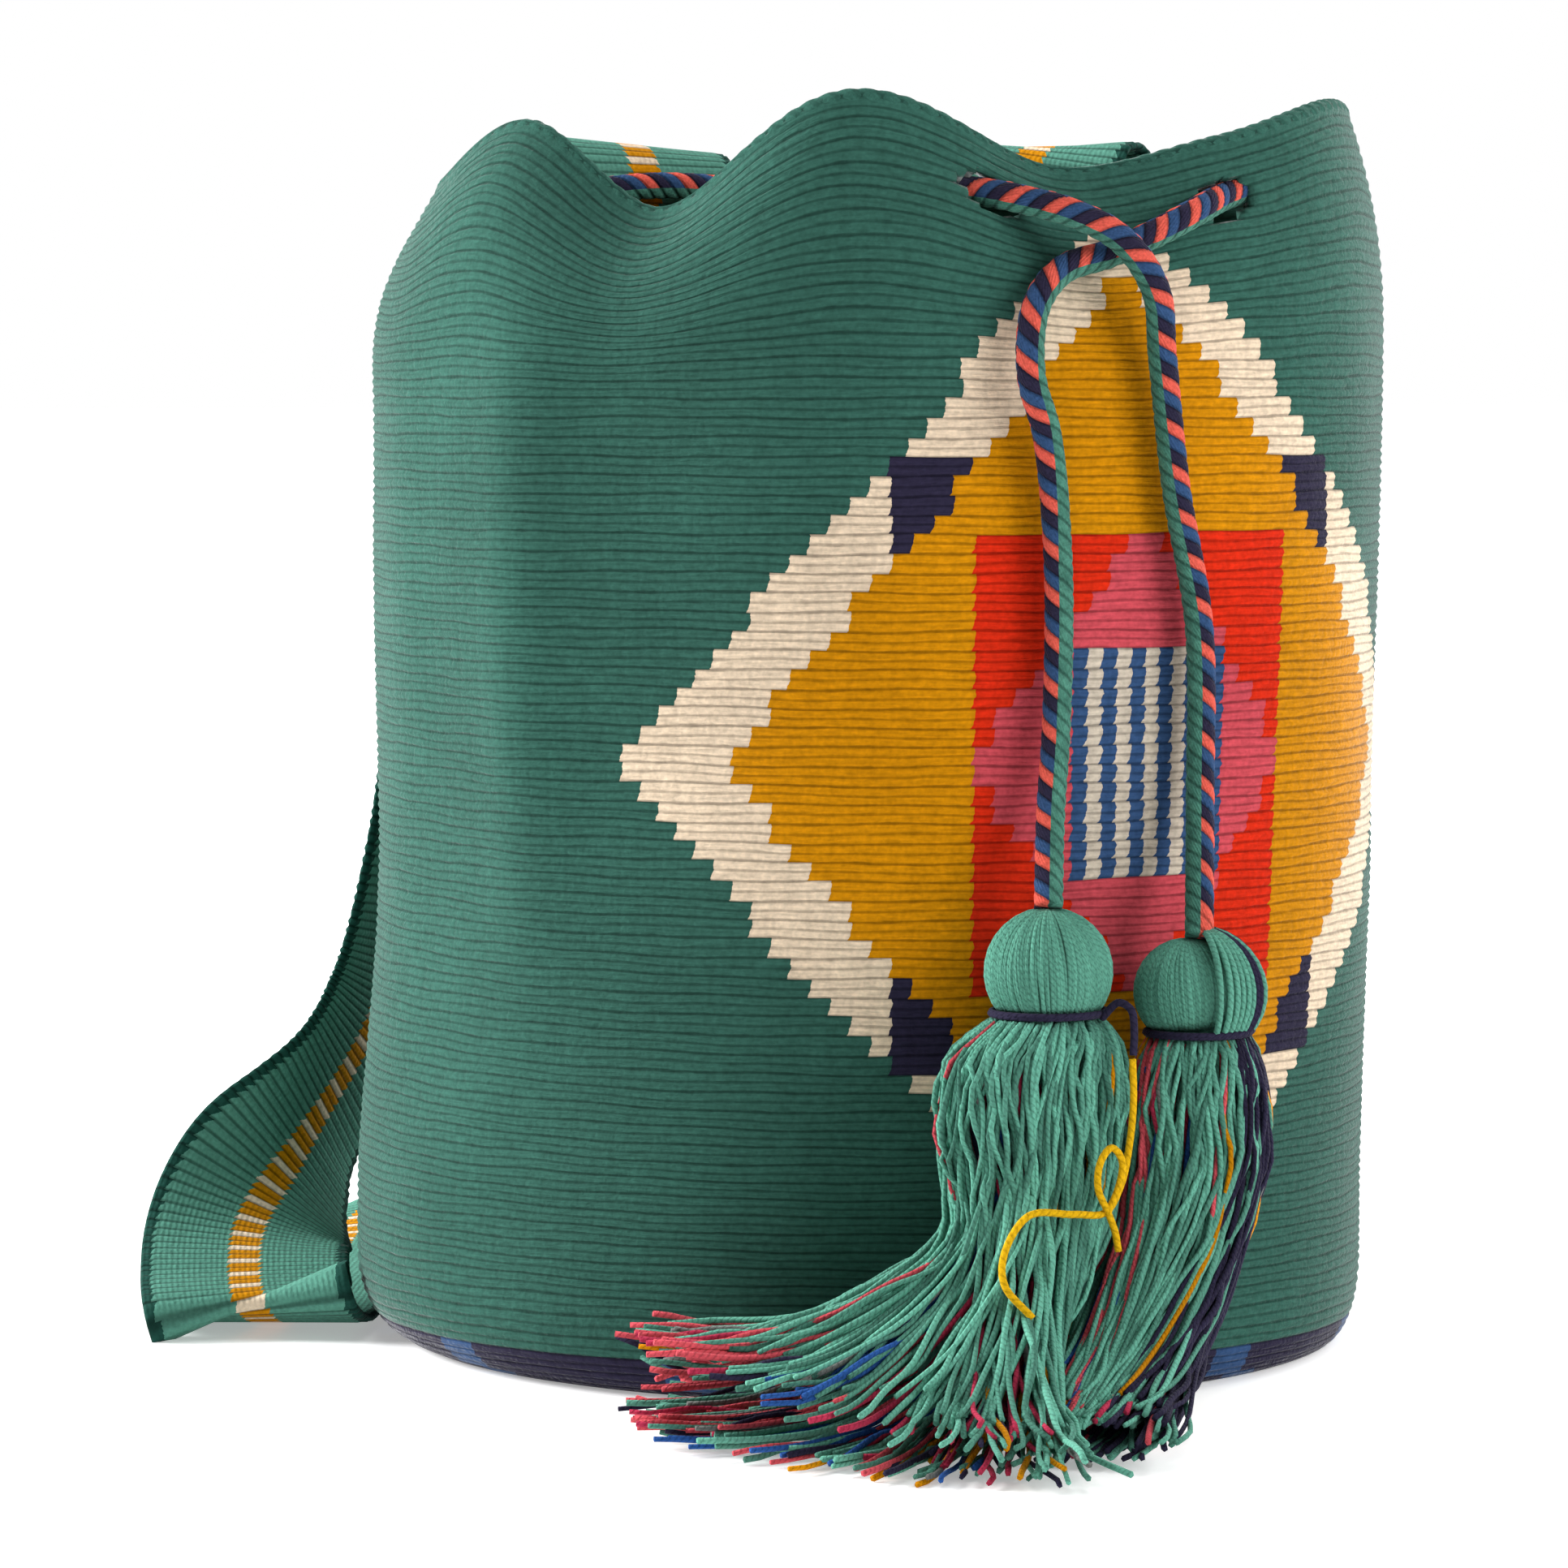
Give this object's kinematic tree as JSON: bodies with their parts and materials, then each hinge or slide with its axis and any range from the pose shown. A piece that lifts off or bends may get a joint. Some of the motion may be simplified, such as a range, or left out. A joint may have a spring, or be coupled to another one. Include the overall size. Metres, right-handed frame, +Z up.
{
  "type": "crossbody bag",
  "caption": "Crocheted bucket bag with a gathered drawstring mouth, tasselled cord ends and a woven shoulder strap; stands on its flat round base.",
  "frame": {"origin": "centre of the flat round base, on the surface that the bag stands on", "axes": "+Z up through the mouth, -Y towards the front where the drawstring is tied"},
  "size_m": [0.3015, 0.4436, 0.3038],
  "materials": {
    "crochet_teal": "matte tapestry crochet",
    "woven_teal": "matte ribbed weave",
    "braided_cord": "matte four-colour braid",
    "tassel_yarn": "matte twisted yarn",
    "navy_thread": "matte twisted thread",
    "mustard_thread": "matte twisted thread"
  },
  "bodies": {
    "bag": {"bag_body": "crochet_teal", "strap": "woven_teal", "drawstring": "braided_cord"},
    "left_tassel": {"left_tassel_yarn": "tassel_yarn", "left_tassel_binding": "navy_thread", "yellow_thread": "mustard_thread"},
    "right_tassel": {"right_tassel_yarn": "tassel_yarn", "right_tassel_binding": "navy_thread"}
  },
  "joints": [
    {"name": "left_tassel_swing", "type": "hinge", "parent": "bag", "child": "left_tassel", "pos_m": [-0.028, -0.1408, 0.103], "axis": [-1, 0, 0], "range_deg": [0, 60]},
    {"name": "right_tassel_swing", "type": "hinge", "parent": "bag", "child": "right_tassel", "pos_m": [0.01, -0.1432, 0.097], "axis": [-1, 0, 0], "range_deg": [0, 60]}
  ]
}
